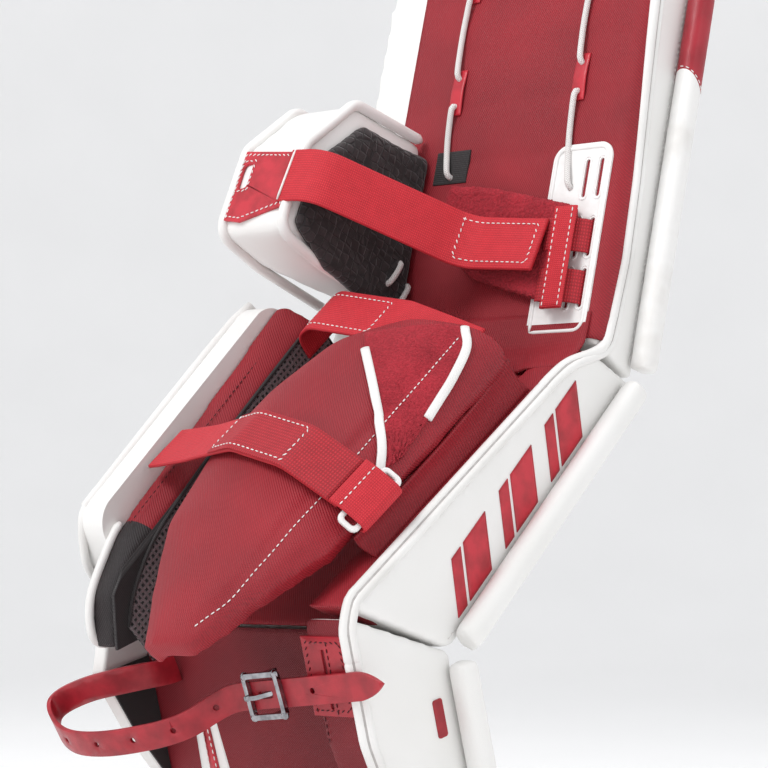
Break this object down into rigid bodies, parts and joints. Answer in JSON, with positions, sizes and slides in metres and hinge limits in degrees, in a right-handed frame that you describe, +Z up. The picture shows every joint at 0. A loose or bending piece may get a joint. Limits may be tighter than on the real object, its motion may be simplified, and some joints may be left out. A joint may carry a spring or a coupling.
{
  "type": "ice hockey goalie leg pad",
  "caption": "Leg pad for an ice hockey goaltender: broken at knee and boot, with a knee block, hinged calf wrap, elastic straps and a buckled boot strap.",
  "frame": {"origin": "middle of the knee break, on the fold line of the front face", "axes": "+Z up, +X lateral (away from the other leg), the wearer's leg lies towards -Y"},
  "size_m": [0.3089, 0.4167, 0.6772],
  "materials": {
    "white_leather": "satin synthetic leather",
    "red_nylon": "coated twill nylon",
    "black_lining": "woven lining and spacer mesh",
    "foam": "closed-cell foam, hidden",
    "stiffener": "plastic sheet",
    "red_elastic": "woven elastic",
    "fleece": "brushed loop",
    "red_leather": "smooth synthetic leather",
    "cushion_fabric": "embossed knit",
    "white_lace": "braided lace",
    "white_plastic": "moulded",
    "chrome": "polished"
  },
  "bodies": {
    "shin": {"shin_face": "white_leather", "shin_core": "foam", "channel_liner": "black_lining", "shin_bolster": "foam", "bolster_cover": "red_nylon", "shin_side": "white_leather", "shin_binding": "white_leather", "shin_roll": "white_leather", "medial_board": "white_leather", "wing_pad": "red_nylon", "wing_liner": "black_lining", "upper_strap": "red_elastic"},
    "thigh": {"thigh_face": "white_leather", "thigh_board": "stiffener", "thigh_core": "foam", "thigh_rear_panel": "red_nylon", "thigh_medial_band": "white_leather", "thigh_side": "white_leather", "thigh_binding": "white_leather", "thigh_roll": "white_leather", "thigh_roll_tip": "red_nylon", "lace_tabs": "red_elastic", "felt_patch": "black_lining", "slotted_plate": "white_leather", "left_lace": "white_lace", "right_lace": "white_lace", "knee_block": "white_leather", "block_cushion": "cushion_fabric", "cushion_laces": "white_lace", "strap_tab": "red_leather", "fleece_pad": "fleece", "wrap_end_trim": "red_leather", "wrap_webbing": "red_elastic"},
    "boot": {"boot_face": "white_leather", "boot_core": "foam", "boot_liner": "red_nylon", "boot_bolster": "red_nylon", "boot_side": "white_leather", "boot_binding": "white_leather", "boot_roll": "white_leather", "boot_wall": "white_leather", "boot_wall_liner": "black_lining", "size_label": "red_leather", "toe_bridge": "stiffener", "boot_tab": "red_leather", "buckle_strap": "red_leather", "boot_strap": "red_leather", "buckle_frame": "chrome"},
    "knee_strap": {"knee_strap": "red_elastic"},
    "calf_wrap": {"wrap_pad": "red_nylon", "wrap_hinge_strip": "red_nylon", "wrap_loop_patch": "fleece", "ring_keeper": "white_plastic"},
    "calf_strap": {"calf_strap": "red_elastic", "calf_strap_hook": "red_elastic"},
    "strap_ring": {"strap_ring": "white_plastic"},
    "buckle_prong": {"buckle_prong": "chrome"}
  },
  "joints": [
    {"name": "knee_break", "type": "hinge", "parent": "shin", "child": "thigh", "pos_m": [0, 0, 0], "axis": [1, 0, 0], "range_deg": [-8, 0]},
    {"name": "boot_break", "type": "hinge", "parent": "shin", "child": "boot", "pos_m": [0, -0.18809, -0.18809], "axis": [1, 0, 0], "range_deg": [0, 6]},
    {"name": "knee_strap_opens", "type": "hinge", "parent": "thigh", "child": "knee_strap", "pos_m": [-0.0853, -0.14636, 0.14838], "axis": [0, -0.3907, -0.9205], "range_deg": [0, 40]},
    {"name": "calf_wrap_opens", "type": "hinge", "parent": "shin", "child": "calf_wrap", "pos_m": [0.112, -0.20082, -0.08202], "axis": [0, 0.7071, 0.7071], "range_deg": [0, 35]},
    {"name": "calf_strap_opens", "type": "hinge", "parent": "calf_wrap", "child": "calf_strap", "pos_m": [0.09718, -0.25802, -0.08265], "axis": [0.1908, 0.6941, 0.6941], "range_deg": [0, 40]},
    {"name": "ring_swings", "type": "hinge", "parent": "calf_wrap", "child": "strap_ring", "pos_m": [0.11043, -0.24958, -0.09473], "axis": [0.1908, 0.6941, 0.6941], "range_deg": [0, 50]},
    {"name": "prong_lifts", "type": "hinge", "parent": "boot", "child": "buckle_prong", "pos_m": [0.04577, -0.27312, -0.21685], "axis": [-0.0995, -0.2826, 0.9541], "range_deg": [0, 10]}
  ]
}
